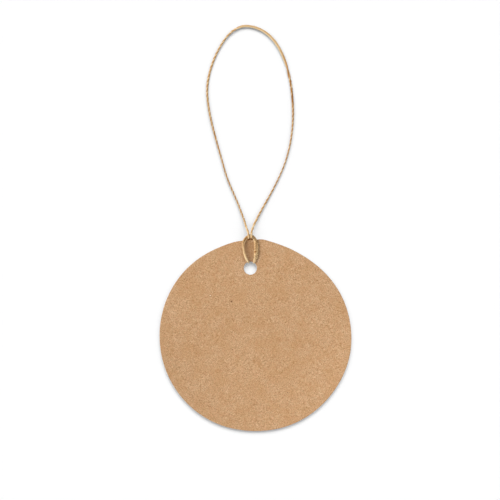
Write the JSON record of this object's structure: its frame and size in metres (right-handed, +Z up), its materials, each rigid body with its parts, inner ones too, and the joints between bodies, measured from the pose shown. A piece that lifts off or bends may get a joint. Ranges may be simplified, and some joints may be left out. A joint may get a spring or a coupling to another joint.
{
  "type": "gift tag",
  "caption": "Round kraft card gift tag with a punched hole and a loop of natural twine hitched through it; the card swings on the twine and the loop folds over its face.",
  "frame": {"origin": "on the table under the middle of the card", "axes": "+Z up, out of the card's face; +Y the way the twine leaves the card; +X to the right, seen from above"},
  "size_m": [0.06, 0.1277, 0.0037],
  "materials": {
    "kraft_board": "matte uncoated kraft board with fine fibre mottling",
    "natural_twine": "dry two-ply twisted plant fibre with stray hairs"
  },
  "bodies": {
    "card": {"tag_card": "kraft_board"},
    "hitch": {"twine_hitch": "natural_twine", "twine_hitch_return": "natural_twine", "end_knot": "natural_twine", "knot_tail_lower": "natural_twine", "knot_tail_upper": "natural_twine"},
    "loop": {"twine_loop": "natural_twine"}
  },
  "joints": [
    {"name": "tag_swing", "type": "hinge", "parent": "card", "child": "hitch", "pos_m": [-0.00153, 0.02134, 0.0014], "axis": [0, -0.0273, 0.9996], "range_deg": [-9, 17]},
    {"name": "loop_fold", "type": "hinge", "parent": "hitch", "child": "loop", "pos_m": [-0.00153, 0.03058, 0.00331], "axis": [1, 0, 0], "range_deg": [0, 180]}
  ]
}
